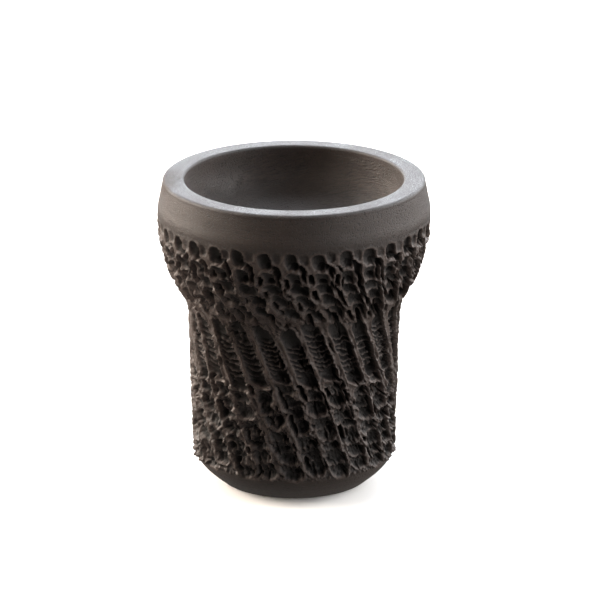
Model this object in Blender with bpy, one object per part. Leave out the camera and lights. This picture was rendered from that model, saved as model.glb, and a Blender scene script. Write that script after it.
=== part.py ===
"""Black clay pot: a thick-rimmed shallow bowl carried on a carved body.

One fired clay body.  The smooth rim and collar, the bowl, the foot and the
hollow under the bowl are turned; the outside between collar and foot is cut
with two rows of thumb-sized scoops and, below them, leaning flutes.
Metres, +Z up, the pot stands on z = 0 with its axis on the Z axis.
"""
import bpy
import bmesh
from math import sin, cos, pi, sqrt

for old in list(bpy.data.objects):
    bpy.data.objects.remove(old, do_unlink=True)

MM = 0.001

# ------------------------------------------------------------ dimensions (mm)
HEIGHT = 84.0            # foot to rim
RIM_OUT_R = 34.9         # flat rim, outer edge
RIM_IN_R = 29.3          # mouth of the bowl
RIM_ROUND = 0.8          # rounding of both rim edges
BOWL_DEPTH = 16.5        # rim to the middle of the bowl's floor
BOWL_SHAPE = 2.6         # 2 = elliptical bowl, higher = flatter floor

COLLAR_BOTTOM = 74.7     # lower edge of the smooth collar band
ROW_HEIGHT = 5.1         # each of the two rows of scoops under the collar
ROW_COUNT = 32           # scoops round the collar
ROW_DEPTH = 1.5

FLUTE_COUNT = 26         # flutes round the body
FLUTE_DEPTH = 1.9
FLUTE_LEAN = 0.38        # sideways travel per unit of fall, top left to lower right
CARVING_BOTTOM = 7.2     # where the carving stops above the foot

FOOT_R = 20.0            # outer radius of the standing ring
FOOT_TOP_R = 26.8        # radius where the smooth foot meets the carving
FOOT_BULGE = 1.3         # outward swell of the foot's bevel
FOOT_IN_R = 13.0         # inner radius of the standing ring
HOLLOW_TOP = 57.0        # crown of the hollow under the bowl
HOLLOW_R = 19.0          # widest radius of the hollow

SMOOTH_SEGMENTS = 64     # facets round the turned surfaces
HOLLOW_SEGMENTS = 52

# (height, radius) stations of the outside, over the tops of the ridges
OUTSIDE = ((82.7, 35.2), (79.0, 35.9), (75.5, 36.5), (70.0, 36.3),
           (66.0, 35.4), (61.0, 34.1), (56.0, 32.2), (50.5, 28.9),
           (46.0, 28.2), (33.0, 27.8), (21.0, 27.4), (12.0, 27.2),
           (CARVING_BOTTOM, FOOT_TOP_R))


def envelope(z):
    """Outside radius at height z: smooth curve through the stations."""
    pts = OUTSIDE[::-1]
    if z <= pts[0][0]:
        return pts[0][1]
    if z >= pts[-1][0]:
        return pts[-1][1]
    i = max(k for k in range(len(pts) - 1) if pts[k][0] <= z)

    def slope(k):
        if k == 0 or k == len(pts) - 1:
            a, b = (0, 1) if k == 0 else (-2, -1)
            return (pts[b][1] - pts[a][1]) / (pts[b][0] - pts[a][0])
        left = (pts[k][1] - pts[k - 1][1]) / (pts[k][0] - pts[k - 1][0])
        right = (pts[k + 1][1] - pts[k][1]) / (pts[k + 1][0] - pts[k][0])
        return 0.0 if left * right <= 0 else 2 * left * right / (left + right)

    z0, r0 = pts[i]
    z1, r1 = pts[i + 1]
    h = z1 - z0
    t = (z - z0) / h
    m0, m1 = slope(i) * h, slope(i + 1) * h
    return (r0 * (1 + 2 * t) * (1 - t) ** 2 + m0 * t * (1 - t) ** 2
            + r1 * t * t * (3 - 2 * t) + m1 * t * t * (t - 1))


def lean_angle(z):
    """Turn of the flutes at height z, from the collar's lower edge down."""
    angle, step, h = 0.0, 0.5, COLLAR_BOTTOM
    while h > z:
        d = min(step, h - z)
        angle += FLUTE_LEAN * d / envelope(h)
        h -= d
    return angle


bm = bmesh.new()


def ring(z, radius, count, turn=0.0):
    """One ring of vertices; radius is a number or a function of the index."""
    out = []
    for k in range(count):
        a = 2 * pi * k / count + turn
        r = radius(k) if callable(radius) else radius
        # angle 0 faces the viewer at -Y and grows towards +X
        v = bm.verts.new((r * sin(a) * MM, -r * cos(a) * MM, z * MM))
        out.append((a, v))
    return out


def stitch(low, high):
    """Faces between two rings of any counts, outward for low below high."""
    n, m = len(low), len(high)
    if n == m:
        for k in range(n):
            a, b = low[k][1], low[(k + 1) % n][1]
            c, d = high[(k + 1) % n][1], high[k][1]
            bm.faces.new((a, b, c, d))
        return
    turn = 2 * pi
    # start the upper ring at the vertex nearest in angle to the lower start
    start = min(range(m), key=lambda k: abs((high[k][0] - low[0][0] + pi) % turn - pi))
    base = low[0][0] + ((high[start][0] - low[0][0] + pi) % turn - pi)
    i = j = 0
    while i < n or j < m:
        ai = low[0][0] + turn * (i + 1) / n
        aj = base + turn * (j + 1) / m
        a = low[i % n][1]
        b = high[(start + j) % m][1]
        if j >= m or (i < n and ai <= aj):
            bm.faces.new((a, low[(i + 1) % n][1], b))
            i += 1
        else:
            bm.faces.new((a, high[(start + j + 1) % m][1], b))
            j += 1


# ------------------------------------------------ outside, from foot to rim
# underside ring first: every ring after it follows the surface outward,
# up the outside, over the rim and down into the bowl
rings = []

# standing ring: flat face between FOOT_IN_R and FOOT_R
rings.append(ring(0.0, FOOT_IN_R + 0.6, HOLLOW_SEGMENTS))
rings.append(ring(0.0, FOOT_R - 0.3, HOLLOW_SEGMENTS))
# swelling bevel of the foot
FOOT_STEPS = 4
for k in range(FOOT_STEPS):
    t = (k + 0.35) / FOOT_STEPS
    z = CARVING_BOTTOM * 0.96 * t
    r = FOOT_R + (FOOT_TOP_R - 1.6 - FOOT_R) * t + FOOT_BULGE * sin(pi * min(1.0, t)) * 0.9
    rings.append(ring(z, r, HOLLOW_SEGMENTS if k < 2 else FLUTE_COUNT * 5,
                      0.0 if k < 2 else lean_angle(z)))


# flutes: five vertices to a flute, a flat ridge, then a floor that falls
# away to the right and ends at the steep flank of the next ridge
def flute_cut(k, z):
    place = k % 5
    column = k // 5
    if z > 63.5:
        level = 0.55
    elif z > 51.0:                        # squashed scoops of the shoulder
        level = 0.55 + 0.45 * sin(pi * (z - 51.0) / 4.2 + column * 1.9)
    elif z > 32.5:                        # long grooves of the body
        level = 0.80 + 0.20 * cos(2 * pi * (51.0 - z) / 18.5)
    elif z > 21.3:                        # two rows of small scoops
        level = 0.55 + 0.35 * cos(2 * pi * (32.5 - z) / 5.6 + column * 0.7)
    else:                                 # shallow scoops down to the foot
        level = 0.45 + 0.20 * cos(2 * pi * (21.3 - z) / 7.0 + column * 1.1)
    return FLUTE_DEPTH * level * (0.05, 0.0, 0.62, 0.85, 1.0)[place]


ANGLE_OF = (0.0, 0.24, 0.40, 0.64, 0.90)  # where the five vertices stand


def flute_ring(z):
    out = []
    count = FLUTE_COUNT * 5
    for k in range(count):
        a = 2 * pi * (k // 5 + ANGLE_OF[k % 5]) / FLUTE_COUNT + lean_angle(z)
        r = envelope(z) - flute_cut(k, z)
        v = bm.verts.new((r * sin(a) * MM, -r * cos(a) * MM, z * MM))
        out.append((a, v))
    return out


BODY_LEVELS = (7.4, 10.6, 14.2, 17.8, 21.3, 24.1, 26.9, 29.7, 32.5,
               37.1, 41.7, 46.3, 49.8, 52.2, 55.2, 58.2, 61.2, 63.6)
for z in BODY_LEVELS:
    rings.append(flute_ring(z))


# two rows of scoops under the collar: four vertices to a scoop
def scoop_ring(z, level, row):
    count = ROW_COUNT * 4
    out = []
    shift = lean_angle(COLLAR_BOTTOM - ROW_HEIGHT * (row + 0.5))
    for k in range(count):
        a = 2 * pi * (k // 4 + (0.0, 0.2, 0.5, 0.85)[k % 4]) / ROW_COUNT + shift
        r = envelope(z) - ROW_DEPTH * level * (0.1, 0.35, 0.8, 1.0)[k % 4]
        v = bm.verts.new((r * sin(a) * MM, -r * cos(a) * MM, z * MM))
        out.append((a, v))
    return out


ROW_2 = COLLAR_BOTTOM - 2 * ROW_HEIGHT
ROW_1 = COLLAR_BOTTOM - ROW_HEIGHT
rings.append(scoop_ring(ROW_2 + 0.3, 0.35, 1))
rings.append(scoop_ring(ROW_2 + 1.4, 1.0, 1))
rings.append(scoop_ring(ROW_2 + 3.6, 0.75, 1))
rings.append(scoop_ring(ROW_1 + 0.1, 0.20, 0.5))
rings.append(scoop_ring(ROW_1 + 1.4, 1.0, 0))
rings.append(scoop_ring(ROW_1 + 3.8, 0.75, 0))

# smooth collar band, rounded rim, bowl
for z in (COLLAR_BOTTOM + 0.1, 77.2, 80.0, HEIGHT - RIM_ROUND):
    rings.append(ring(z, envelope(z), SMOOTH_SEGMENTS * 2 if z < 75.0 else SMOOTH_SEGMENTS))
for k in (1, 2, 3):
    a = (pi / 2) * k / 3
    rings.append(ring(HEIGHT - RIM_ROUND + RIM_ROUND * sin(a),
                      envelope(HEIGHT) - RIM_ROUND + RIM_ROUND * cos(a), SMOOTH_SEGMENTS))
for k in (0, 1, 2, 3):
    a = (pi / 2) * k / 3
    rings.append(ring(HEIGHT - RIM_ROUND + RIM_ROUND * cos(a),
                      RIM_IN_R + RIM_ROUND - RIM_ROUND * sin(a), SMOOTH_SEGMENTS))

BOWL_STEPS = 11
for k in range(1, BOWL_STEPS):
    a = (pi / 2) * k / BOWL_STEPS
    # superellipse from the rounded rim down to the floor's middle
    r = RIM_IN_R * cos(a) ** (2 / BOWL_SHAPE)
    z = HEIGHT - RIM_ROUND - (BOWL_DEPTH - RIM_ROUND) * sin(a) ** (2 / BOWL_SHAPE)
    rings.append(ring(z, r, SMOOTH_SEGMENTS if k < 9 else SMOOTH_SEGMENTS // 2))

for low, high in zip(rings, rings[1:]):
    stitch(low, high)
# middle of the bowl's floor
centre = bm.verts.new((0.0, 0.0, (HEIGHT - BOWL_DEPTH) * MM))
last = rings[-1]
for k in range(len(last)):
    bm.faces.new((last[k][1], last[(k + 1) % len(last)][1], centre))

# ------------------------------------------------- hollow under the bowl
hollow = [rings[0]]
hollow.append(ring(0.6, FOOT_IN_R, HOLLOW_SEGMENTS))
WALL_STEPS = 4
for k in range(1, WALL_STEPS + 1):
    t = k / WALL_STEPS
    hollow.append(ring(0.6 + (34.0 - 0.6) * t,
                       FOOT_IN_R + (HOLLOW_R - FOOT_IN_R) * sin(pi / 2 * t), HOLLOW_SEGMENTS))
CROWN_STEPS = 5
for k in range(1, CROWN_STEPS):
    a = (pi / 2) * k / CROWN_STEPS
    hollow.append(ring(34.0 + (HOLLOW_TOP - 34.0) * sin(a), HOLLOW_R * cos(a) ** 0.85,
                       HOLLOW_SEGMENTS if k < 4 else HOLLOW_SEGMENTS // 2))
for low, high in zip(hollow, hollow[1:]):
    stitch(high, low)
crown = bm.verts.new((0.0, 0.0, HOLLOW_TOP * MM))
last = hollow[-1]
for k in range(len(last)):
    bm.faces.new((last[(k + 1) % len(last)][1], last[k][1], crown))

bmesh.ops.triangulate(bm, faces=[f for f in bm.faces if len(f.verts) > 3],
                      quad_method='SHORT_EDGE')
bmesh.ops.recalc_face_normals(bm, faces=bm.faces)

mesh = bpy.data.meshes.new("pot_body")
bm.to_mesh(mesh)
bm.free()
mesh.shade_smooth()
mesh.set_sharp_from_angle(angle=0.6)

pot = bpy.data.objects.new("pot_body", mesh)
bpy.context.scene.collection.objects.link(pot)

# -------------------------------------------------------- material: black clay
clay = bpy.data.materials.new("black_clay")
clay.use_nodes = True
shader = next(n for n in clay.node_tree.nodes if n.type == 'BSDF_PRINCIPLED')
shader.inputs["Base Color"].default_value = (0.036, 0.031, 0.029, 1.0)
shader.inputs["Roughness"].default_value = 0.55
shader.inputs["Metallic"].default_value = 0.0
clay.diffuse_color = (0.036, 0.031, 0.029, 1.0)
mesh.materials.append(clay)
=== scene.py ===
"""Looks of the black clay pot: carved high-resolution body, clay material, studio."""
from math import sin, cos, pi, radians, sqrt, atan2

import bpy
import numpy as np
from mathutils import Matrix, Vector


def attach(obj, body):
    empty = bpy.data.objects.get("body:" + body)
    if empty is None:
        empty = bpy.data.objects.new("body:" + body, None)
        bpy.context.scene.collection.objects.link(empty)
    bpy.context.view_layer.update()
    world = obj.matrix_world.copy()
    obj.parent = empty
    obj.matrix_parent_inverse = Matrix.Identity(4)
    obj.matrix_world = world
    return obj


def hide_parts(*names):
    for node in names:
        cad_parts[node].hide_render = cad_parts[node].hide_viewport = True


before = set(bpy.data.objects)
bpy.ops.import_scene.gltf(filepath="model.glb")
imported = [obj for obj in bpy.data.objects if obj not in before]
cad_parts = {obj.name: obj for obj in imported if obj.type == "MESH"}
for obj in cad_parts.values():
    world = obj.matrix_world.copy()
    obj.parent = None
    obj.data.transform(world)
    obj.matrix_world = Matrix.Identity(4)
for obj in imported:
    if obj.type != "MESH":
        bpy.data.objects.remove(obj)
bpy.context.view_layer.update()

MM = 0.001


# ---------------------------------------------------------------- camera
def make_camera():
    """Long lens, 18.5 degrees above the horizon, on the pot's -Y side."""
    distance = 1.45
    elevation = radians(18.3)
    aim = Vector((0.0016, 0.0, 0.04945))
    cam = bpy.data.cameras.new("camera")
    cam.lens = 323.6
    cam.sensor_width = 36.0
    cam.clip_start = 0.05
    cam.clip_end = 50.0
    obj = bpy.data.objects.new("camera", cam)
    bpy.context.scene.collection.objects.link(obj)
    obj.location = aim + Vector((0.0, -cos(elevation) * distance, sin(elevation) * distance))
    direction = aim - obj.location
    obj.rotation_euler = direction.to_track_quat('-Z', 'Y').to_euler()
    bpy.context.scene.camera = obj
    return obj


make_camera()

# ---------------------------------------------------------------- sizes (mm)
HEIGHT = 84.0
RIM_IN_R = 29.3
RIM_ROUND = 0.8
BOWL_DEPTH = 16.5
BOWL_SHAPE = 2.6
CARVE_TOP = 75.2
CARVE_LOW = 6.6
FOOT_R = 20.0
FOOT_IN_R = 13.0
HOLLOW_TOP = 57.0
HOLLOW_R = 19.0

# (height, radius) of the outside over the tops of the ridges
OUTSIDE = np.array([
    (0.0, 20.0), (1.6, 22.0), (4.2, 24.8), (6.4, 26.4), (8.0, 26.9),
    (12.0, 27.2), (21.0, 27.4), (33.0, 27.8), (46.0, 28.2), (50.5, 28.9),
    (56.0, 32.0), (61.0, 34.2), (66.0, 35.4), (70.0, 36.2), (75.5, 36.5),
    (79.0, 35.9), (82.7, 35.2), (84.0, 34.9)])


def monotone_curve(x, y):
    """Smooth curve through points without overshoot, returned as a function."""
    h = np.diff(x)
    d = np.diff(y) / h
    m = np.empty(len(x))
    m[0], m[-1] = d[0], d[-1]
    same = d[:-1] * d[1:] > 0
    m[1:-1] = np.where(same, 2 * d[:-1] * d[1:] / np.where(same, d[:-1] + d[1:], 1.0), 0.0)

    def at(q):
        q = np.clip(np.asarray(q, float), x[0], x[-1])
        i = np.clip(np.searchsorted(x, q, side='right') - 1, 0, len(h) - 1)
        t = (q - x[i]) / h[i]
        return (y[i] * (1 + 2 * t) * (1 - t) ** 2 + m[i] * h[i] * t * (1 - t) ** 2
                + y[i + 1] * t * t * (3 - 2 * t) + m[i + 1] * h[i] * t * t * (t - 1))
    return at


envelope = monotone_curve(OUTSIDE[:, 0], OUTSIDE[:, 1])


def smoothstep(a, b, x):
    t = np.clip((x - a) / (b - a), 0.0, 1.0)
    return t * t * (3 - 2 * t)


# sideways travel of the cuts per mm of fall: upright under the collar,
# strongly slanted over the shoulder, then a steady lean down the body
_lz = np.linspace(0.0, HEIGHT, 1681)
_slope = (0.10 + 0.52 * (1 - smoothstep(60.0, 66.5, _lz))
          - 0.22 * (1 - smoothstep(48.0, 54.0, _lz))
          - 0.04 * (1 - smoothstep(28.0, 36.0, _lz)))
_turn = np.concatenate([[0.0], np.cumsum(0.5 * (_slope[1:] / envelope(_lz[1:])
                                                + _slope[:-1] / envelope(_lz[:-1])) * np.diff(_lz))])
_turn = _turn[-1] - _turn


def lean(z):
    return np.interp(z, _lz, _turn)


# ---------------------------------------------------------------- noise
def lattice_noise(u, v, nu, nv, seed):
    """Gradient noise: u in turns round the pot (periodic over nu cells), v in cells."""
    rng = np.random.RandomState(seed)
    ang = rng.uniform(0, 2 * pi, (nu, nv + 2))
    gx, gy = np.cos(ang), np.sin(ang)
    x = u * nu
    xi = np.floor(x).astype(int)
    yi = np.clip(np.floor(v).astype(int), 0, nv)
    fx, fy = x - xi, v - yi
    x0, x1 = xi % nu, (xi + 1) % nu
    y1 = np.minimum(yi + 1, nv + 1)
    wx = fx ** 3 * (fx * (fx * 6 - 15) + 10)
    wy = fy ** 3 * (fy * (fy * 6 - 15) + 10)
    n00 = gx[x0, yi] * fx + gy[x0, yi] * fy
    n10 = gx[x1, yi] * (fx - 1) + gy[x1, yi] * fy
    n01 = gx[x0, y1] * fx + gy[x0, y1] * (fy - 1)
    n11 = gx[x1, y1] * (fx - 1) + gy[x1, y1] * (fy - 1)
    return ((n00 * (1 - wx) + n10 * wx) * (1 - wy) + (n01 * (1 - wx) + n11 * wx) * wy) * 1.5


# ---------------------------------------------------------------- carved field
NC = 800                      # columns round the carved zone
NS = 400                      # and round the smooth ones
DZ = 0.235
rows_z = np.arange(CARVE_LOW, CARVE_TOP, DZ)
NR = len(rows_z)
rows_r = envelope(rows_z)
rows_lean = lean(rows_z)
DPSI = 2 * pi / NC
PSI = np.arange(NC) * DPSI
U = np.broadcast_to((np.arange(NC) / NC)[None, :], (NR, NC))
V = np.broadcast_to(((rows_z - CARVE_LOW))[:, None], (NR, NC))


def field(cell, seed, stretch=1.0):
    """Noise over the carved zone with cells about `cell` mm wide."""
    nu = int(round(2 * pi * 29.0 / cell))
    vv = V / (cell * stretch)
    return lattice_noise(U, vv, nu, int(vv.max()) + 2, seed)


warp_x = 0.75 * field(2.6, 11) + 0.38 * field(1.2, 12) + 0.20 * field(0.62, 13)
warp_y = 0.75 * field(2.6, 21) + 0.38 * field(1.2, 22) + 0.20 * field(0.62, 23)

cut = np.zeros((NR, NC))
lip = np.zeros((NR, NC))
slit = np.zeros((NR, NC))
rng = np.random.RandomState(5)


def jit(scale):
    return rng.uniform(-scale, scale)


def stamp(psi, z, w, h, depth, rot=0.0, edge=(0.5, 0.5, 0.5, 0.5), tilt=(0.0, 0.0),
          power=2.4, warp=0.5, follow=0.0, lip_h=0.0, lip_dir=(0.6, -0.8), into=None):
    """One scoop of the loop tool.  w and h in mm, edge = softness left, right, bottom, top."""
    into = cut if into is None else into
    half = 0.5 * sqrt(w * w + h * h) + 1.0
    sel = np.nonzero(np.abs(rows_z - z) < half)[0]
    if len(sel) == 0:
        return
    r = float(envelope(z))
    kn = int((half + (0 if follow else 0.75 * half)) / (r * DPSI)) + 2
    k0 = int(round(psi / DPSI))
    idx = np.arange(k0 - kn, k0 + kn + 1)
    cols = idx % NC
    win = np.ix_(sel, cols)
    y = (rows_z[sel] - z)[:, None]
    x = (idx * DPSI - psi)[None, :] * rows_r[sel][:, None]
    x = x + (1 - follow) * ((rows_lean[sel] - float(lean(z))) * rows_r[sel])[:, None]
    x = x + warp * warp_x[win]
    y = y + warp * warp_y[win]
    c, s = cos(rot), sin(rot)
    p = (x * c + y * s) / (w / 2)
    q = (-x * s + y * c) / (h / 2)
    rho = (np.abs(p) ** power + np.abs(q) ** power) ** (1 / power)
    ex = np.where(p < 0, edge[0], edge[1])
    ey = np.where(q < 0, edge[2], edge[3])
    norm = p * p + q * q + 1e-6
    gamma = 0.36 + 0.62 * (p * p * ex + q * q * ey) / norm
    f = np.clip(1 - rho * rho, 0, 1) ** gamma
    d = depth * f * np.clip(1 + tilt[0] * p + tilt[1] * q, 0.1, 2.2)
    into[win] = np.maximum(into[win], d)
    if lip_h > 0:
        g = np.exp(-((rho - 1.07) / 0.12) ** 2)
        side = np.clip((p * lip_dir[0] + q * lip_dir[1]) / np.sqrt(norm), 0, 1)
        lip[win] = np.maximum(lip[win], lip_h * g * side)


ROWS_N = 32
BODY_N = 26
psi_rows = radians(-1.0) - float(lean(72.4))
psi_body = radians(2.0) - float(lean(42.0))


def groove_turn(k, n, psi0):
    return psi0 + 2 * pi * k / n


def groove(psi, z_top, z_low, w, depth, arch=1.2, fall=0.8, left=0.62, right=0.48, tilt=0.22,
           warp=0.5, taper=0.0, ripple=None, slant=0.0):
    """One long gouge that follows the lean: round floor, steep walls, deeper towards its right."""
    sel = np.nonzero((rows_z > z_low - 1.5) & (rows_z < z_top + 1.5))[0]
    if len(sel) == 0:
        return
    zm = 0.5 * (z_top + z_low)
    r = float(envelope(zm))
    kn = int((0.5 * w + 2.0 + abs(slant) * (z_top - z_low)) / (r * DPSI)) + 2
    k0 = int(round(psi / DPSI))
    idx = np.arange(k0 - kn, k0 + kn + 1)
    win = np.ix_(sel, idx % NC)
    zz = rows_z[sel][:, None] + warp * warp_y[win]
    x = (idx * DPSI - psi)[None, :] * rows_r[sel][:, None] + warp * warp_x[win]
    x = x - slant * (zm - rows_z[sel])[:, None]
    along = np.clip((z_top - zz) / (z_top - z_low), 0, 1)
    p = x / (0.5 * w * (1 - taper * along))
    if ripple is not None:
        length, amp, s0, s1, bow = ripple
        mask = smoothstep(s0 - 0.05, s0 + 0.05, along) * (1 - smoothstep(s1 - 0.05, s1 + 0.06, along))
        wave = (zz - bow * x * x) / length + 0.35 * warp_y[win]
        cusp = np.abs(np.sin(pi * wave)) ** 0.8
        p = np.where(p > 0, p / (1 + 0.22 * mask * (cusp - 0.6)), p)
    gamma = np.where(p < 0, left, right)
    sec = np.clip(1 - p * p, 0, 1) ** gamma * (1 + tilt * p)
    top = smoothstep(0.0, fall, (z_top - arch * (p - 0.1) ** 2) - zz)
    low = smoothstep(0.0, fall, zz - (z_low + arch * 0.6 * (p - 0.3) ** 2))
    d = depth * sec * top * low
    if ripple is not None:
        d = d + amp * mask * np.clip(sec * 1.4, 0, 1) * (cusp - 0.75) * top * low
    cut[win] = np.maximum(cut[win], d)


def spot(psi0, z, dx=0.0, dz=0.0):
    """Angle and height of a point dx, dz mm from (psi0, z), measured in the leaning frame."""
    return psi0 + dx / float(envelope(z + dz)), z + dz


# collar columns: thumbnail scoops with a torn trench on their right, then a
# chain of torn scoops over the shoulder
for k in range(ROWS_N):
    a = groove_turn(k, ROWS_N, psi_rows) + jit(0.012)
    z1 = 71.5 + jit(0.25)
    big = 1.0 + jit(0.08)
    # row 1
    stamp(*spot(a, z1), 3.8 * big, 4.7 + jit(0.3), 1.3 + jit(0.15), rot=jit(0.10),
          edge=(0.70, 0.30, 0.35, 0.30), tilt=(0.25, -0.15), power=2.5, warp=0.22, follow=1.0)
    stamp(*spot(a, z1, 0.65, -1.1), 3.1 * big, 2.7 + jit(0.3), 1.9 + jit(0.25), rot=-0.45 + jit(0.2),
          edge=(0.95, 0.35, 0.30, 0.85), tilt=(0.1, -0.1), power=2.2, warp=0.30, follow=1.0,
          lip_h=0.3, lip_dir=(-0.3, -0.95))
    # row 2
    z2 = 66.4 + jit(0.25)
    stamp(*spot(a, z2, 0.15 + jit(0.2)), 4.3 * big, 4.6 + jit(0.3), 1.4 + jit(0.2), rot=-0.12 + jit(0.12),
          edge=(0.55, 0.30, 0.30, 0.25), tilt=(0.15, -0.1), power=3.0, warp=0.28, follow=1.0,
          lip_h=0.25, lip_dir=(-0.4, 0.9))
    stamp(*spot(a, z2, 0.7, -1.0), 3.1 * big, 2.5 + jit(0.4), 2.0 + jit(0.3), rot=-0.35 + jit(0.2),
          edge=(0.95, 0.4, 0.40, 0.9), power=2.1, warp=0.35, follow=1.0)
    # torn notch and trench on the right of the column
    stamp(*spot(a, z1, 2.55 + jit(0.3), -1.9 + jit(0.4)), 2.9 + jit(0.4), 1.9 + jit(0.4),
          1.7 + jit(0.4), rot=-0.8 + jit(0.25), edge=(0.7, 0.35, 0.5, 0.25), warp=0.6, follow=1.0)
    z_t = 70.3 + jit(0.7)
    off = 3.25 + jit(0.15)
    while z_t > 62.0:
        seg = rng.uniform(3.6, 8.0)
        groove(a + off / 36.0, z_t, z_t - seg, 2.15 + jit(0.3), 1.75 + jit(0.4), arch=0.7,
               fall=0.9, left=0.6, right=0.5, warp=0.5, slant=0.04)
        z_t -= seg + rng.uniform(-0.2, 0.5)
        off += jit(0.25)
    # shallow faceting of the land between scoops
    stamp(*spot(a, z1, 3.3 + jit(0.2), 0.9 + jit(0.4)), 2.9, 3.2, 0.32 + jit(0.15), rot=-0.2 + jit(0.2),
          edge=(0.9, 0.5, 0.6, 0.7), tilt=(0.4, -0.3), power=2.2, warp=0.25, follow=1.0)
    # chain over the shoulder
    z = 62.8 + jit(0.4)
    dx = 0.6
    while z > 53.6:
        h = rng.uniform(3.6, 4.8)
        w = rng.uniform(4.8, 5.5)
        stamp(*spot(a, z, dx + jit(0.25)), w, h, rng.uniform(1.6, 2.3), rot=-0.35 + jit(0.2),
              edge=(0.50, 0.25, 0.25, 0.35), tilt=(0.30, -0.25), power=2.5, warp=0.40, follow=1.0,
              lip_h=0.22, lip_dir=(0.2, -0.98))
        if rng.rand() < 0.35:
            stamp(*spot(a, z, dx + 1.0 + jit(0.4), -0.5 + jit(0.3)), w * 0.45, h * 0.45,
                  rng.uniform(2.3, 2.9), rot=-0.6 + jit(0.4), edge=(0.8, 0.4, 0.5, 0.4),
                  warp=0.5, follow=1.0)
        z -= h * rng.uniform(0.78, 0.95)
        dx += jit(0.2)

# slanting black cracks over the shoulder, under overhanging lips
for i in range(56):
    zc = rng.uniform(52.5, 61.0)
    stamp(rng.uniform(0, 2 * pi), zc, rng.uniform(4.0, 8.5), rng.uniform(0.75, 1.3),
          rng.uniform(3.4, 4.4), rot=-0.85 + jit(0.25), edge=(0.3, 0.3, 0.3, 0.2), power=2.0,
          warp=0.5, lip_h=0.35, lip_dir=(0.1, 0.99))

# body: spoon mouths under the cracks, long rippled grooves below them
for k in range(BODY_N):
    a = groove_turn(k, BODY_N, psi_body) + jit(0.018)
    top = 51.6 + jit(1.4)
    length = 18.4 + jit(1.4)
    low = top - length
    w = 5.0 + jit(0.35)
    groove(a, top, low, w, 1.95 + jit(0.2), arch=1.8, fall=1.0, left=0.5, right=0.45, warp=0.32,
           ripple=(1.55 + jit(0.30), 0.90 + jit(0.15), 0.26 + jit(0.06), 0.84, 0.20))
    # deep trench along the right wall, broken by torn bridges
    z = top - rng.uniform(4.5, 8.0)
    while z > low + 2.0:
        seg = rng.uniform(2.0, 5.0)
        groove(a + 1.75 / 28.0, z, max(z - seg, low), 1.6 + jit(0.3), 2.8 + jit(0.35), arch=0.5,
               fall=0.9, left=0.9, warp=0.6)
        z -= seg + rng.uniform(0.3, 2.4)
    # spoon mouth, smooth and lighter
    stamp(*spot(a, top - 3.0, -0.25), 5.0 + jit(0.3), 6.0 + jit(0.5), 1.75 + jit(0.2), rot=-0.12,
          edge=(0.75, 0.40, 0.95, 0.30), tilt=(0.12, 0.30), power=2.2, warp=0.22, follow=1.0)
    # deep end
    stamp(*spot(a, low + 3.0, 0.3), 4.6 + jit(0.4), 5.0 + jit(0.8), 2.5 + jit(0.3),
          edge=(0.8, 0.3, 0.4, 0.7), tilt=(0.2, -0.15), power=2.2, warp=0.45, follow=1.0,
          lip_h=0.3, lip_dir=(0.4, -0.9))
    # crack over the spoon mouth
    stamp(*spot(a, top, 0.9 + jit(0.4), 0.35 + jit(0.4)), 7.4 + jit(1.2), 1.35 + jit(0.3),
          3.9 + jit(0.4), rot=-0.86 + jit(0.14), edge=(0.4, 0.3, 0.4, 0.18), warp=0.5,
          lip_h=0.3, lip_dir=(-0.2, 0.98))
    # facets along the ridge between grooves
    z = top + 1.0
    while z > low - 1.0:
        seg = rng.uniform(2.0, 5.0)
        stamp(*spot(a, z - seg / 2, 3.35 + jit(0.6)), rng.uniform(1.0, 1.9), seg * 1.1,
              rng.uniform(0.08, 0.40), rot=jit(0.15), edge=(0.8, 0.4, 0.6, 0.6), tilt=(jit(0.5), jit(0.5)),
              power=2.6, warp=0.5, follow=1.0)
        z -= seg * rng.uniform(0.9, 1.8)

# nicks bitten out of the ridges all over the body and shoulder
for i in range(420):
    zc = rng.uniform(30.0, 66.0)
    stamp(rng.uniform(0, 2 * pi), zc, rng.uniform(0.5, 1.2), rng.uniform(1.0, 2.8), rng.uniform(0.15, 0.55),
          rot=-0.25 + jit(0.5), edge=(0.7, 0.4, 0.5, 0.5), tilt=(jit(0.6), jit(0.6)), power=2.1,
          warp=0.5, follow=1.0, lip_h=0.18, lip_dir=(0.5, -0.8))

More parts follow.
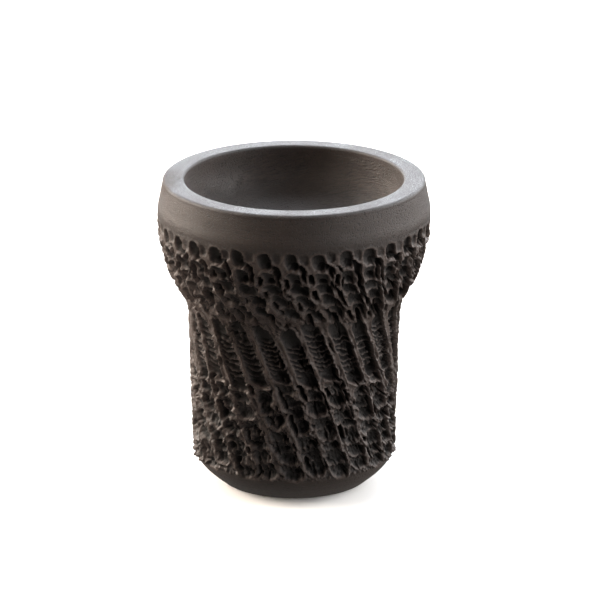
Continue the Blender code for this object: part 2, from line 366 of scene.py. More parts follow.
# lower body: rows of overlapping torn scoops, scale upon scale, down to the foot
for row, (zc, w, h, d) in enumerate(((31.4, 5.2, 4.1, 1.6), (27.9, 5.6, 4.2, 1.7), (24.3, 5.7, 4.3, 1.65),
                                     (20.7, 5.8, 4.4, 1.5), (17.0, 5.8, 4.5, 1.4), (13.3, 5.8, 4.6, 1.3),
                                     (9.6, 5.8, 4.6, 1.25))):
    for k in range(BODY_N):
        a = groove_turn(k, BODY_N, psi_body) + jit(0.020)
        z = zc + (1.75 if k % 2 else 0.0) + jit(1.0)
        ww, hh = w + jit(0.8), h + 0.8 + jit(1.2)
        stamp(*spot(a, z, jit(0.3)), ww, hh, d + jit(0.45), rot=-0.25 + jit(0.3),
              edge=(0.75, 0.35, 0.22, 0.85), tilt=(0.25, -0.45), power=2.0, warp=0.6, follow=0.8,
              lip_h=0.5, lip_dir=(0.3, -0.95))
        if rng.rand() < (0.8 if row < 4 else 0.5):
            stamp(*spot(a, z, 0.8 + jit(0.6), -0.8 + jit(0.4)), ww * 0.5, hh * 0.45,
                  d + 0.7 + jit(0.3), rot=-0.4 + jit(0.4), edge=(0.8, 0.45, 0.4, 0.6),
                  warp=0.8, follow=0.7)
        if rng.rand() < (0.7 if row < 4 else 0.4):
            stamp(*spot(a, z, 2.8 + jit(0.5), 0.6 + jit(1.2)), rng.uniform(2.5, 5.0),
                  rng.uniform(0.6, 1.1), 2.3 + jit(0.4), rot=-1.1 + jit(0.35),
                  edge=(0.4, 0.35, 0.5, 0.3), warp=0.9, follow=0.4)

# sharp ridges left standing between the columns, each with a deep crack on its right
standing = []
for count, psi0, z_from, z_to, stray in ((ROWS_N, psi_rows, 67.5, 52.5, 0.30), (BODY_N, psi_body, 34.0, 9.0, 0.55)):
    for k in range(count):
        z = z_from + jit(1.2)
        while z > z_to:
            seg = rng.uniform(2.8, 7.0)
            line = (groove_turn(k + 0.5, count, psi0) + jit(stray) / 32.0, z, max(z - seg, z_to - 1.0))
            standing.append(line)
            if rng.rand() < (0.85 if count == ROWS_N else 0.6):
                groove(line[0] + 1.05 / float(envelope(z)), line[1] - 0.2, line[2] + 0.2, rng.uniform(1.2, 1.9),
                       rng.uniform(2.5, 3.3) if count == ROWS_N else rng.uniform(2.0, 2.7), arch=0.3,
                       fall=0.8, left=0.35, right=0.8, warp=0.45)
            z -= seg + rng.uniform(0.2, 1.3)

# thin black tears along the edges of the scoops, leaning with them
for i in range(900):
    zc = rng.uniform(8.5, 72.0)
    here = 0.22 + 0.25 * float(smoothstep(67.0, 64.0, zc) * smoothstep(49.0, 52.0, zc)) + 0.6 * float(smoothstep(35.0, 32.0, zc))
    if rng.rand() > here:
        continue
    steep = rng.rand() < 0.75
    stamp(rng.uniform(0, 2 * pi), zc, rng.uniform(1.2, 4.2), rng.uniform(0.42, 0.70), rng.uniform(0.5, 1.3),
          rot=(-1.15 if steep else -0.35) + jit(0.4), edge=(0.3, 0.3, 0.2, 0.5), power=1.9, warp=0.8,
          follow=0.3, lip_h=0.22, lip_dir=(0.3, 0.9), into=slit)

# where the clay tore: strongest at the shoulder and low on the body
tear = (0.12 + 0.26 * smoothstep(66.5, 63.0, rows_z) * smoothstep(50.5, 54.0, rows_z)
        + 0.80 * smoothstep(34.0, 29.5, rows_z))
tear = np.clip(tear, 0, 1)[:, None]

ridged = (0.24 * (0.5 - np.abs(field(2.1, 31, 1.6))) + 0.22 * (0.5 - np.abs(field(1.15, 32, 1.5)))
          + 0.14 * (0.5 - np.abs(field(0.65, 33, 1.4))))
grainy = 0.07 * field(1.3, 41) + 0.07 * field(0.75, 42) + 0.05 * field(0.5, 43)
plateau = 1 - smoothstep(0.05, 0.55, cut)
height = -cut + lip * np.exp(-cut / 0.45) * (1 + 1.2 * field(0.8, 51))
height = height + tear * (1.5 * ridged - 0.38) * (0.45 + 0.55 * (1 - plateau)) + (0.25 + 0.9 * tear) * grainy

# ragged burrs on the right-hand edge of the ridges
grad = np.gradient(cut, axis=1) / (DPSI * rows_r[:, None])
burr = smoothstep(-0.4, -1.6, grad) * smoothstep(0.9, 0.2, cut) * np.clip(0.4 + 1.6 * field(0.9, 61, 1.6), 0, 2)
height = height + 0.28 * burr * (0.4 + tear)

# crumbs pressed into the torn zones
for i in range(1100):
    z = rng.uniform(CARVE_LOW + 0.8, 66.0)
    w_tear = float(np.interp(z, rows_z, tear[:, 0]))
    if rng.rand() > 0.10 + 0.70 * w_tear:
        continue
    psi = rng.uniform(0, 2 * pi)
    size = rng.uniform(0.5, 1.15)
    r = float(envelope(z))
    sel = np.nonzero(np.abs(rows_z - z) < size)[0]
    kn = int(size / (r * DPSI)) + 1
    idx = np.arange(int(psi / DPSI) - kn, int(psi / DPSI) + kn + 1)
    win = np.ix_(sel, idx % NC)
    x = (idx * DPSI - psi)[None, :] * r / (size * rng.uniform(0.4, 0.7))
    y = (rows_z[sel] - z)[:, None] / (size * rng.uniform(0.35, 0.6))
    rr = x * x + y * y
    bump = np.clip(1 - rr, 0, 1) ** 0.6
    height[win] = height[win] + rng.uniform(0.15, 0.42) * bump

# thin upright slivers of clay along the torn edges, leaning with the cuts
for i in range(520):
    z = rng.uniform(CARVE_LOW + 1.5, 66.0)
    if rng.rand() > 0.2 + 0.8 * float(np.interp(z, rows_z, tear[:, 0])):
        continue
    psi = rng.uniform(0, 2 * pi)
    long, thin = rng.uniform(1.0, 2.8), rng.uniform(0.20, 0.34)
    turn = rng.uniform(-0.30, 0.20)
    r = float(envelope(z))
    sel = np.nonzero(np.abs(rows_z - z) < long)[0]
    kn = int(long * 0.8 / (r * DPSI)) + 2
    idx = np.arange(int(psi / DPSI) - kn, int(psi / DPSI) + kn + 1)
    win = np.ix_(sel, idx % NC)
    y = (rows_z[sel] - z)[:, None]
    x = (idx * DPSI - psi)[None, :] * r + 0.7 * (warp_x[win] - warp_x[sel[len(sel) // 2], idx[kn] % NC])
    along = x * sin(turn) + y * cos(turn)
    across = x * cos(turn) - y * sin(turn)
    fin = np.exp(-(across / thin) ** 2) * np.clip(1 - (along / long) ** 2, 0, 1)
    height[win] = height[win] + rng.uniform(0.2, 0.6) * fin

height = height - slit


def stand(psi, z_top, z_low, top, thin):
    """Raises one thin ridge that follows the lean."""
    sel = np.nonzero((rows_z > z_low - 0.3) & (rows_z < z_top + 0.3))[0]
    if len(sel) == 0:
        return
    r = float(envelope(0.5 * (z_top + z_low)))
    kn = int(2.4 / (r * DPSI)) + 2
    k0 = int(round(psi / DPSI))
    idx = np.arange(k0 - kn, k0 + kn + 1)
    win = np.ix_(sel, idx % NC)
    x = (idx * DPSI - psi)[None, :] * rows_r[sel][:, None] + 0.5 * warp_x[win]
    zz = rows_z[sel][:, None]
    g = np.exp(-(x / thin) ** 2) * smoothstep(-0.2, 0.7, z_top - zz) * smoothstep(-0.2, 0.7, zz - z_low)
    level = top + 0.25 * field_fine[win]
    height[win] = height[win] * (1 - g) + np.maximum(height[win], level) * g


field_fine = field(0.9, 81, 1.5)
for psi, z_top, z_low in standing:
    stand(psi, z_top, z_low, rng.uniform(-0.30, 0.30) + (0.1 if z_top > 50 else 0.0), rng.uniform(0.28, 0.42))

def blurred(a, sigma_mm):
    """Gaussian blur over the carved zone, wrapping round the pot."""
    pad = 40
    b = np.pad(a, ((pad, pad), (0, 0)), mode='edge')
    fz = np.fft.fftfreq(b.shape[0], d=DZ)[:, None]
    fu = np.fft.rfftfreq(b.shape[1], d=DPSI * 29.0)[None, :]
    return np.fft.irfft2(np.fft.rfft2(b) * np.exp(-2 * (pi * sigma_mm) ** 2 * (fz * fz + fu * fu)), s=b.shape)[pad:-pad]


# the tool leaves crisp edges
height = height + np.clip(0.6 * (height - blurred(height, 0.5)), -0.35, 0.30)
height = np.minimum(height, 0.48)

# carving fades into the smooth collar and foot
top_fade = smoothstep(75.1, 74.7, rows_z + 0.0)[:, None]
low_edge = 7.5 + 0.5 * field(3.0, 71)[0] + 0.45 * field(1.1, 72)[0]
low_fade = smoothstep(-0.30, 0.30, rows_z[:, None] - low_edge[None, :])
height = height * top_fade * low_fade
bottom_crumbs = np.exp(-((rows_z[:, None] - low_edge[None, :] - 0.45) / 0.45) ** 2)
height = height + bottom_crumbs * np.clip(0.35 + 1.3 * field(0.9, 73), 0, 1.2) * 0.55


# how exposed each spot is: lips and ridge tops above zero, pits below; the clay material paints a highlight on the
# first and shade into the second
exposure = (1.1 * (height - blurred(height, 0.35)) + 0.55 * (height - blurred(height, 0.9))
            + 0.45 * (height - blurred(height, 2.2)))

# how far each depth is dragged sideways and upward, which undercuts the
# right-hand and upper walls
drag_right = 0.16 + np.zeros((NR, 1))
drag_up = (0.10 + 0.18 * smoothstep(66.5, 63.0, rows_z) * smoothstep(46.0, 50.0, rows_z)
           + 0.25 * smoothstep(34.5, 30.5, rows_z))[:, None]


# ---------------------------------------------------------------- mesh
class Builder:
    def __init__(self):
        self.co, self.s, self.depth, self.convexity = [], [], [], []
        self.count = 0
        self.faces = []

    def ring(self, x, y, z, s, depth, convexity=0.0):
        n = len(x)
        self.co.append(np.stack([x, y, z], 1))
        self.s.append(np.full(n, s))
        self.depth.append(np.broadcast_to(depth, (n,)).astype(float))
        self.convexity.append(np.broadcast_to(convexity, (n,)).astype(float))
        first = self.count
        self.count += n
        return first, n

    def quads(self, low, high):
        (a, n), (b, m) = low, high
        k = np.arange(n)
        k1 = (k + 1) % n
        self.faces.append(np.stack([a + k, a + k1, b + k1, b + k], 1))

    def stitch(self, low, high):
        (a, n), (b, m) = low, high
        if n == m:
            self.quads(low, high)
            return
        i = j = 0
        tris = []
        while i < n or j < m:
            if j >= m or (i < n and (i + 1) / n <= (j + 1) / m + 1e-9):
                tris.append((a + i % n, a + (i + 1) % n, b + j % m, -1))
                i += 1
            else:
                tris.append((a + i % n, b + (j + 1) % m, b + j % m, -1))
                j += 1
        self.faces.append(np.array(tris))


build = Builder()
TURN0 = float(lean(CARVE_LOW))        # turn of every ring below the carving
TURN1 = float(lean(CARVE_TOP))        # and above it


def turned(radius, z, count, s, turn, depth=0.0):
    th = np.arange(count) * 2 * pi / count + turn
    return build.ring(radius * np.sin(th), -radius * np.cos(th), np.broadcast_to(z, (count,)), s, depth)


rings = []
s_at = 0.0
last_rz = None


def push(r, z, count, turn, depth=0.0, dr=0.0, dz=0.0):
    """Next turned ring out along the profile."""
    global s_at, last_rz
    if last_rz is not None:
        s_at += sqrt((r - last_rz[0]) ** 2 + (z - last_rz[1]) ** 2)
    last_rz = (r, z)
    rings.append(turned(r + dr, z + dz, count, s_at, turn, depth))


# hollow under the bowl, from its crown down to the foot
HOLLOW_N = 180
crown = []
for k in range(1, 19):
    a = (pi / 2) * (1 - k / 18)
    crown.append((HOLLOW_R * cos(a) ** 0.85 if a < pi / 2 else 0.0, 34.0 + (HOLLOW_TOP - 34.0) * sin(a)))
for r, z in crown:
    push(r, z, 45 if r < 8.0 else (90 if r < 14 else HOLLOW_N), TURN0)
for k in range(1, 25):
    t = 1 - k / 24
    push(FOOT_IN_R + (HOLLOW_R - FOOT_IN_R) * sin(pi / 2 * t), 0.6 + 33.4 * t, HOLLOW_N, TURN0)
for k in range(1, 4):
    a = (pi / 2) * k / 3
    push(FOOT_IN_R + 0.6 - 0.6 * cos(a), 0.6 - 0.6 * sin(a), HOLLOW_N * 2 if k > 1 else HOLLOW_N, TURN0)
for k in range(1, 9):
    push(FOOT_IN_R + 0.6 + (FOOT_R - 0.35 - FOOT_IN_R - 0.6) * k / 8, 0.0, NS if k > 6 else HOLLOW_N * 2, TURN0)
# rounded edge and bevel of the foot
for k in range(1, 30):
    z = CARVE_LOW * (k / 30) ** 1.15
    push(float(envelope(z)), z, NS, TURN0)

# carved zone
z_profile = rows_z
r_profile = rows_r
dr_dz = np.gradient(r_profile, rows_z)
nrm = np.sqrt(1 + dr_dz ** 2)
n_r, n_z = 1 / nrm, -dr_dz / nrm          # outward normal
t_r, t_z = dr_dz / nrm, 1 / nrm           # up along the profile
for j in range(NR):
    h = height[j]
    depth = -h
    side = drag_right[j] * depth
    up = drag_up[j] * depth
    r = r_profile[j] + n_r[j] * h + t_r[j] * up
    z = z_profile[j] + n_z[j] * h + t_z[j] * up
    th = PSI + rows_lean[j] + side / r_profile[j]
    s_at += sqrt((r_profile[j] - last_rz[0]) ** 2 + (z_profile[j] - last_rz[1]) ** 2)
    last_rz = (r_profile[j], z_profile[j])
    rings.append(build.ring(r * np.sin(th), -r * np.cos(th), z, s_at, depth, exposure[j]))

# smooth collar, rounded rim
for z in np.arange(CARVE_TOP + 0.2, HEIGHT - RIM_ROUND - 0.05, 0.36):
    push(float(envelope(z)), z, NS, TURN1)
for k in range(0, 9):
    a = (pi / 2) * k / 8
    push(float(envelope(HEIGHT)) - RIM_ROUND + RIM_ROUND * cos(a) + 0.25 * (1 - k / 8),
         HEIGHT - RIM_ROUND + RIM_ROUND * sin(a), NS, TURN1)
flat_out, flat_in = float(envelope(HEIGHT)) - RIM_ROUND, RIM_IN_R + RIM_ROUND
for k in range(1, 10):
    push(flat_out + (flat_in - flat_out) * k / 10, HEIGHT, NS, TURN1)
for k in range(0, 9):
    a = (pi / 2) * k / 8
    push(RIM_IN_R + RIM_ROUND - RIM_ROUND * sin(a), HEIGHT - RIM_ROUND + RIM_ROUND * cos(a),
         NS if k < 5 else 360, TURN1)

# bowl
s_bowl = float(s_at)
BOWL_STEPS = 64
for k in range(1, BOWL_STEPS):
    a = (pi / 2) * k / BOWL_STEPS
    r = RIM_IN_R * cos(a) ** (2 / BOWL_SHAPE)
    z = HEIGHT - RIM_ROUND - (BOWL_DEPTH - RIM_ROUND) * sin(a) ** (2 / BOWL_SHAPE)
    push(r, z, 360 if r > 16 else (180 if r > 7 else (90 if r > 3 else 45)), TURN1)

for low, high in zip(rings, rings[1:]):
    build.stitch(low, high)


def cap(first_ring, s, z, upward):
    """Closes a centre with a fan."""
    a, n = first_ring
    c, _ = build.ring(np.array([0.0]), np.array([0.0]), np.array([z]), s, 0.0)
    k = np.arange(n)
    k1 = (k + 1) % n
    if upward:
        f = np.stack([a + k, a + k1, np.full(n, c), np.full(n, -1)], 1)
    else:
        f = np.stack([a + k1, a + k, np.full(n, c), np.full(n, -1)], 1)
    build.faces.append(f)


cap(rings[-1], s_at, HEIGHT - BOWL_DEPTH, True)
cap(rings[0], 0.0, HOLLOW_TOP, False)

co = np.concatenate(build.co) * MM
faces = np.concatenate(build.faces)
s_all = np.concatenate(build.s)
depth_all = np.concatenate(build.depth)
convexity_all = np.concatenate(build.convexity)
is_quad = faces[:, 3] >= 0
counts = np.where(is_quad, 4, 3)
starts = np.concatenate([[0], np.cumsum(counts)[:-1]])
loops = faces.reshape(-1)
loops = loops[loops >= 0]

mesh = bpy.data.meshes.new("pot_clay")
mesh.vertices.add(len(co))
mesh.vertices.foreach_set("co", co.astype(np.float32).reshape(-1))
mesh.loops.add(len(loops))
mesh.loops.foreach_set("vertex_index", loops.astype(np.int32))
mesh.polygons.add(len(faces))
mesh.polygons.foreach_set("loop_start", starts.astype(np.int32))
mesh.polygons.foreach_set("loop_total", counts.astype(np.int32))
mesh.update(calc_edges=True)
mesh.validate()
mesh.shade_smooth()

# unwrapped like a label: once round, and along the profile
v_first = np.concatenate([np.full(len(c), f) for c, f in
                          zip(build.co, np.cumsum([0] + [len(c) for c in build.co])[:-1])])
v_count = np.concatenate([np.full(len(c), len(c)) for c in build.co])
v_u = (np.arange(len(co)) - v_first) / v_count
lu = v_u[loops]
lv = s_all[loops] / s_all.max()
fid = np.repeat(np.arange(len(faces)), counts)
umax = np.zeros(len(faces))
np.maximum.at(umax, fid, lu)
lu = np.where((umax[fid] > 0.75) & (lu < 0.25), lu + 1.0, lu)
lu = np.where(v_count[loops] == 1, np.minimum(umax[fid], 1.0) - 0.005, lu)
uv = mesh.uv_layers.new(name="OFBake")
uv.data.foreach_set("uv", np.stack([lu * 0.998 + 0.001, lv * 0.998 + 0.001], 1).astype(np.float32).reshape(-1))

for name, values in (("s_mm", s_all), ("depth_mm", depth_all), ("exposure", convexity_all)):
    att = mesh.attributes.new(name, 'FLOAT', 'POINT')
    att.data.foreach_set("value", values.astype(np.float32))

pot = bpy.data.objects.new("pot_clay", mesh)
bpy.context.scene.collection.objects.link(pot)
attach(pot, "root")
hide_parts("pot_body")
print("pot faces", len(mesh.polygons), "verts", len(mesh.vertices))


# ---------------------------------------------------------------- material
class Nodes:
    """Small helper for building a node tree line by line."""

    def __init__(self, tree):
        self.nodes, self.links = tree.nodes, tree.links

    def put(self, socket, value):
        if hasattr(value, "links"):
            self.links.new(value, socket)
        else:
            socket.default_value = value

    def math(self, operation, a, b=0.0, clamp=False):
        n = self.nodes.new("ShaderNodeMath")
        n.operation = operation
        n.use_clamp = clamp
        self.put(n.inputs[0], a)
        self.put(n.inputs[1], b)
        return n.outputs[0]

    def remap(self, value, a, b, c, d, smooth=False):
        n = self.nodes.new("ShaderNodeMapRange")
        n.interpolation_type = 'SMOOTHSTEP' if smooth else 'LINEAR'
        for name, v in (("From Min", a), ("From Max", b), ("To Min", c), ("To Max", d)):
            n.inputs[name].default_value = v
        self.links.new(value, n.inputs["Value"])
        return n.outputs["Result"]

    def noise(self, vector, scale, detail=2.0, rough=0.5):
        n = self.nodes.new("ShaderNodeTexNoise")
        n.inputs["Scale"].default_value = scale
        n.inputs["Detail"].default_value = detail
        n.inputs["Roughness"].default_value = rough
        self.links.new(vector, n.inputs["Vector"])
        return n.outputs[0]

    def attribute(self, name):
        n = self.nodes.new("ShaderNodeAttribute")
        n.attribute_name = name
        return n.outputs["Fac"]

    def combine(self, x, y, z):
        n = self.nodes.new("ShaderNodeCombineXYZ")
        for socket, value in zip(n.inputs, (x, y, z)):
            self.put(socket, value)
        return n.outputs[0]

    def mix(self, factor, a, b, blend='MIX'):
        n = self.nodes.new("ShaderNodeMix")
        n.data_type = 'RGBA'
        n.blend_type = blend
        self.put(n.inputs[0], factor)
        self.put(n.inputs[6], a)
        self.put(n.inputs[7], b)
        return n.outputs[2]


def clay_material():
    """Dark smoke-fired clay, brushed where it was turned and cut open in the carving; painted highlight on lips and
    ridge tops, painted shade in pits and deep cuts, painted sheen on the rim top.
    """
    m = bpy.data.materials.new("black_clay_burnished")
    m.use_nodes = True
    n = Nodes(m.node_tree)
    shader = next(x for x in n.nodes if x.type == 'BSDF_PRINCIPLED')
    shader.inputs["Specular IOR Level"].default_value = 0.40

    where = n.nodes.new("ShaderNodeTexCoord").outputs["Object"]
    to_mm = n.nodes.new("ShaderNodeVectorMath")
    to_mm.operation = 'SCALE'
    n.links.new(where, to_mm.inputs[0])
    to_mm.inputs["Scale"].default_value = 1000.0
    mm = to_mm.outputs[0]
    parts = n.nodes.new("ShaderNodeSeparateXYZ")
    n.links.new(mm, parts.inputs[0])
    x, y, z = parts.outputs

    s = n.attribute("s_mm")
    depth = n.attribute("depth_mm")
    exposure = n.attribute("exposure")

    # turning marks: noise squeezed along the profile, drawn out round the pot
    drift = n.noise(mm, 0.06, 1.0)
    along = n.math('ADD', s, n.math('MULTIPLY', drift, 5.0))
    marks = n.noise(n.combine(n.math('MULTIPLY', x, 0.16), n.math('MULTIPLY', y, 0.16),
                              n.math('MULTIPLY', along, 2.2)), 1.0, 4.0, 0.65)
    broad = n.noise(n.combine(n.math('MULTIPLY', x, 0.07), n.math('MULTIPLY', y, 0.07),
                              n.math('MULTIPLY', along, 0.45)), 1.0, 2.0, 0.5)
    speck = n.noise(mm, 2.6, 3.0, 0.75)
    pores = n.remap(n.noise(mm, 1.55, 1.0, 0.4), 0.665, 0.74, 0.0, 1.0)
    cloud = n.noise(mm, 0.11, 3.0, 0.55)
    grain = n.noise(mm, 4.2, 1.0, 0.5)
    pinholes = n.remap(n.noise(mm, 2.7, 0.0, 0.5), 0.62, 0.70, 0.0, 1.0)

    # dry brush strokes inside the bowl, running down to the right in patches
    bowl_zone = n.math('MULTIPLY', n.remap(s, s_bowl, s_bowl + 1.5, 0.0, 1.0), 1.0)
    tilted = n.math('ADD', along, n.math('MULTIPLY', x, 0.34))
    strokes = n.noise(n.combine(n.math('MULTIPLY', x, 0.30), n.math('MULTIPLY', y, 0.30),
                                n.math('MULTIPLY', tilted, 3.0)), 1.0, 3.0, 0.7)
    patch = n.remap(n.noise(mm, 0.085, 2.0, 0.5), 0.42, 0.60, 0.0, 1.0)
    brushed = n.math('MULTIPLY', n.math('MULTIPLY', n.math('SUBTRACT', strokes, 0.5), patch), bowl_zone)
    rim_zone = n.remap(z, 83.2, 83.9, 0.0, 1.0)

    smooth_zone = n.remap(z, 74.2, 75.6, 0.0, 1.0, True)
    foot_zone = n.remap(z, 8.2, 7.0, 0.0, 1.0, True)
    turned_zone = n.math('MAXIMUM', smooth_zone, foot_zone)

    # tone: lips and ridge tops painted lighter (painted highlight), pits and deep cuts painted darker (painted shade)
    ridge = n.math('POWER', n.remap(exposure, 0.05, 0.6, 0.0, 1.0), 1.3)
    pit = n.remap(exposure, 0.0, -1.0, 0.0, 1.0)
    cut_depth = n.remap(depth, 0.25, 1.3, 0.0, 1.0, True)
    tone = n.math('ADD', 1.0, n.math('MULTIPLY', n.math('SUBTRACT', speck, 0.5), 1.3))
    tone = n.math('ADD', tone, n.math('MULTIPLY', n.math('SUBTRACT', cloud, 0.5), 0.7))
    tone = n.math('ADD', tone, n.math('MULTIPLY', n.math('MULTIPLY', n.math('SUBTRACT', marks, 0.5), 0.9),
                                      turned_zone))
    # painted shade: the carved zone is darkened to 0.74 of the turned surfaces, standing in for the self-shadowing of
    # the torn clay
    tone = n.math('MULTIPLY', tone, n.remap(turned_zone, 0.0, 1.0, 0.74, 1.0))
    # painted highlight: lips and ridge tops lighter
    tone = n.math('ADD', tone, n.math('MULTIPLY', ridge, 1.7))
    # painted shade: darker deeper down the cuts
    tone = n.math('MULTIPLY', tone, n.math('SUBTRACT', 1.0, n.math('MULTIPLY', cut_depth, 0.14)))
    # painted shade: pits darker
    tone = n.math('MULTIPLY', tone, n.math('SUBTRACT', 1.0, n.math('MULTIPLY', pit, 0.62)))
    low_rows = n.math('MULTIPLY', n.remap(z, 30.0, 14.0, 0.0, 0.20, True), n.math('SUBTRACT', 1.0, turned_zone))
    tone = n.math('MULTIPLY', tone, n.math('SUBTRACT', 1.0, low_rows))
    tone = n.math('MULTIPLY', tone, n.math('SUBTRACT', 1.0, n.math('MULTIPLY', pores, 0.55)))
    tone = n.math('MULTIPLY', tone, n.math('SUBTRACT', 1.0, n.math('MULTIPLY', pinholes, 0.55)))
    tone = n.math('ADD', tone, n.math('MULTIPLY', brushed, 2.8))
    mottle = n.math('ADD', n.math('MULTIPLY', n.math('SUBTRACT', grain, 0.5), 2.6),
                    n.math('MULTIPLY', n.math('SUBTRACT', cloud, 0.5), 1.2))
    tone = n.math('ADD', tone, n.math('MULTIPLY', mottle, rim_zone))
    tone = n.math('MAXIMUM', tone, 0.12)

    warm = (0.0225, 0.0142, 0.0113, 1)
    cut_shade_grey = (0.0150, 0.0127, 0.0115, 1)
    ridge_highlight_brown = (0.0215, 0.0155, 0.0132, 1)
    rim_sheen_grey = (0.0300, 0.0260, 0.0270, 1)
    # painted shade: deeper cuts greyer and darker
    base = n.mix(n.math('MULTIPLY', cut_depth, 0.4), warm, cut_shade_grey)
    # painted highlight: lips and ridge tops lighter and browner
    base = n.mix(n.math('MULTIPLY', ridge, 0.8), base, ridge_highlight_brown)
    # painted reflection: the rim top lighter and cooler grey, as the cool back light shows on it
    base = n.mix(rim_zone, base, rim_sheen_grey)
    # browner, rougher patch on the rim's -X side
    off_x = n.math('ADD', x, 34.5)
    off_y = n.math('MULTIPLY', n.math('ADD', y, 2.0), 0.5)
    off = n.math('SQRT', n.math('ADD', n.math('MULTIPLY', off_x, off_x), n.math('MULTIPLY', off_y, off_y)))
    off = n.math('ADD', off, n.math('MULTIPLY', n.math('SUBTRACT', n.noise(mm, 0.5, 3.0, 0.6), 0.5), 7.0))
    rim_brown_patch = n.math('MULTIPLY', n.remap(off, 2.0, 7.0, 1.0, 0.0, True), n.remap(z, 80.0, 82.5, 0.0, 1.0, True))
    base = n.mix(n.math('MULTIPLY', rim_brown_patch, 0.75), base, (0.0300, 0.0180, 0.0130, 1))
    shade = n.nodes.new("ShaderNodeVectorMath")
    shade.operation = 'SCALE'
    n.links.new(base, shade.inputs[0])
    n.links.new(tone, shade.inputs["Scale"])
    n.links.new(shade.outputs[0], shader.inputs["Base Color"])

    rough = n.math('ADD', n.remap(cut_depth, 0.0, 1.0, 0.58, 0.62), n.math('MULTIPLY', pit, 0.25))
    rough = n.math('ADD', rough, n.math('MULTIPLY', n.math('SUBTRACT', speck, 0.5), 0.32))
    rough = n.math('ADD', rough, n.math('MULTIPLY', n.math('SUBTRACT', broad, 0.5), 0.12))
    mottle_rough = n.math('ADD', n.math('MULTIPLY', n.math('SUBTRACT', grain, 0.5), 1.2),
                          n.math('MULTIPLY', n.math('SUBTRACT', cloud, 0.5), 0.35))
    rough = n.math('ADD', rough, n.math('MULTIPLY', rim_brown_patch, 0.16))
    rough = n.math('ADD', rough, n.math('MULTIPLY', mottle_rough, rim_zone), clamp=True)
    n.links.new(rough, shader.inputs["Roughness"])

    relief = n.math('MULTIPLY', n.math('MULTIPLY', marks, 0.060), turned_zone)
    relief = n.math('ADD', relief, n.math('MULTIPLY', speck, n.remap(rim_zone, 0.0, 1.0, 0.075, 0.13)))
    relief = n.math('ADD', relief, n.math('MULTIPLY', pores, -0.09))
    relief = n.math('ADD', relief, n.math('MULTIPLY', pinholes, -0.11))
    relief = n.math('ADD', relief, n.math('MULTIPLY', brushed, 0.30))
    relief = n.math('ADD', relief, n.math('MULTIPLY', grain, n.remap(rim_zone, 0.0, 1.0, 0.024, 0.085)))
    bump = n.nodes.new("ShaderNodeBump")
    bump.inputs["Strength"].default_value = 1.0
    bump.inputs["Distance"].default_value = MM
    n.links.new(relief, bump.inputs["Height"])
    n.links.new(bump.outputs[0], shader.inputs["Normal"])
    return m


mesh.materials.append(clay_material())

# ---------------------------------------------------------------- studio
scene = bpy.context.scene
scene.view_settings.view_transform = 'Standard'
scene.view_settings.look = 'None'

floor_mesh = bpy.data.meshes.new("studio_floor")
side = 6.0
floor_mesh.from_pydata([(-side, -side, 0), (side, -side, 0), (side, side, 0), (-side, side, 0)], [], [(0, 1, 2, 3)])
floor = bpy.data.objects.new("studio_floor", floor_mesh)
scene.collection.objects.link(floor)
floor.location.z = -0.00005
fm = bpy.data.materials.new("studio_white")
fm.use_nodes = True
fs = next(n for n in fm.node_tree.nodes if n.type == 'BSDF_PRINCIPLED')
fs.inputs["Base Color"].default_value = (0.90, 0.895, 0.89, 1)
fs.inputs["Roughness"].default_value = 0.9
fs.inputs["Specular IOR Level"].default_value = 0.1
floor_mesh.materials.append(fm)
# far from the pot the lamps no longer reach it, so it glows white there instead
ft = fm.node_tree
place = ft.nodes.new("ShaderNodeTexCoord")
reach = ft.nodes.new("ShaderNodeVectorMath")
reach.operation = 'LENGTH'
ft.links.new(place.outputs["Object"], reach.inputs[0])
glow = ft.nodes.new("ShaderNodeMapRange")
glow.interpolation_type = 'SMOOTHSTEP'
for name, value in (("From Min", 0.6), ("From Max", 1.7), ("To Min", 0.0), ("To Max", 1.0)):
    glow.inputs[name].default_value = value
ft.links.new(reach.outputs["Value"], glow.inputs["Value"])
ft.links.new(glow.outputs["Result"], fs.inputs["Emission Strength"])
fs.inputs["Emission Color"].default_value = (1.0, 1.0, 1.0, 1)
# the bounce off the table is set by the lower half of the world instead
floor.visible_diffuse = False
floor.visible_glossy = False

# white wall far round the table, only there to be seen behind it
wall_mesh = bpy.data.meshes.new("studio_wall")
wall_n = 48
wall_v = [(3.6 * cos(2 * pi * k / wall_n), 3.6 * sin(2 * pi * k / wall_n), h) for h in (-0.01, 4.0) for k in range(wall_n)]
wall_f = [(k, (k + 1) % wall_n, wall_n + (k + 1) % wall_n, wall_n + k) for k in range(wall_n)]
wall_mesh.from_pydata(wall_v, [], wall_f)
wall = bpy.data.objects.new("studio_wall", wall_mesh)
scene.collection.objects.link(wall)
wm = bpy.data.materials.new("studio_wall_white")
wm.use_nodes = True
ws = next(n for n in wm.node_tree.nodes if n.type == 'BSDF_PRINCIPLED')
ws.inputs["Base Color"].default_value = (0.9, 0.9, 0.9, 1)
ws.inputs["Emission Color"].default_value = (1.0, 1.0, 1.0, 1)
ws.inputs["Emission Strength"].default_value = 1.0
wall_mesh.materials.append(wm)
for ray in ("visible_diffuse", "visible_glossy", "visible_transmission", "visible_shadow"):
    setattr(wall, ray, False)

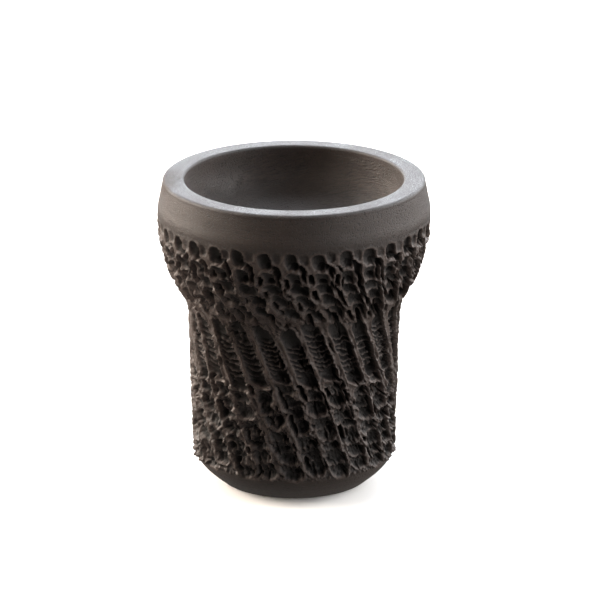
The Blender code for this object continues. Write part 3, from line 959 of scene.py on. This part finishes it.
world = bpy.data.worlds.new("studio_air") if scene.world is None else scene.world
scene.world = world
world.use_nodes = True
wt = world.node_tree
bg = next(n for n in wt.nodes if n.type == 'BACKGROUND')
coord = wt.nodes.new("ShaderNodeTexCoord")
split = wt.nodes.new("ShaderNodeSeparateXYZ")
wt.links.new(coord.outputs["Generated"], split.inputs[0])
ramp = wt.nodes.new("ShaderNodeMapRange")
ramp.interpolation_type = 'SMOOTHSTEP'
ramp.inputs["From Min"].default_value = 0.06
ramp.inputs["From Max"].default_value = -0.06
ramp.inputs["To Min"].default_value = 0.015
ramp.inputs["To Max"].default_value = 0.40
wt.links.new(split.outputs["Z"], ramp.inputs["Value"])
wt.links.new(ramp.outputs["Result"], bg.inputs["Strength"])
bg.inputs["Color"].default_value = (1.0, 0.95, 0.88, 1)


def softbox(name, location, target, size_x, size_y, power, color=(1, 1, 1)):
    light = bpy.data.lights.new(name, 'AREA')
    light.shape = 'RECTANGLE'
    light.size, light.size_y = size_x, size_y
    light.energy = power
    light.color = color
    obj = bpy.data.objects.new(name, light)
    scene.collection.objects.link(obj)
    obj.location = location
    obj.rotation_euler = (Vector(target) - Vector(location)).to_track_quat('-Z', 'Y').to_euler()
    obj.visible_camera = False
    return obj


WARM = (1.0, 0.89, 0.78)
NEUTRAL = (1.0, 0.985, 0.97)
COOL = (0.90, 0.94, 1.0)
AIM = (0, 0, 0.04)
softbox("top", (0, 0.1, 1.1), AIM, 1.8, 1.8, 0.7, COOL)
softbox("high_back", (0, 0.75, 1.25), AIM, 1.3, 0.4, 12.0, COOL)
softbox("back", (0, 1.9, 0.64), AIM, 2.6, 1.3, 94, COOL)
softbox("left", (-1.32, 0.0, 0.50), AIM, 0.9, 1.1, 26.5, WARM)
softbox("right", (1.26, -0.36, 0.46), AIM, 1.5, 1.4, 20.5, NEUTRAL)
softbox("right_low", (1.1, -0.75, 0.16), AIM, 0.9, 0.28, 3.2, NEUTRAL)
softbox("back_left", (-1.2, 0.7, 0.45), AIM, 0.9, 0.8, 46, WARM)
softbox("back_right", (1.2, 0.7, 0.45), AIM, 0.9, 0.8, 22, NEUTRAL)
softbox("side_left", (-1.0, 0.10, 0.9), AIM, 0.9, 0.9, 7.0, WARM)
softbox("side_right", (1.0, 0.05, 0.87), AIM, 0.9, 0.9, 9.5, NEUTRAL)
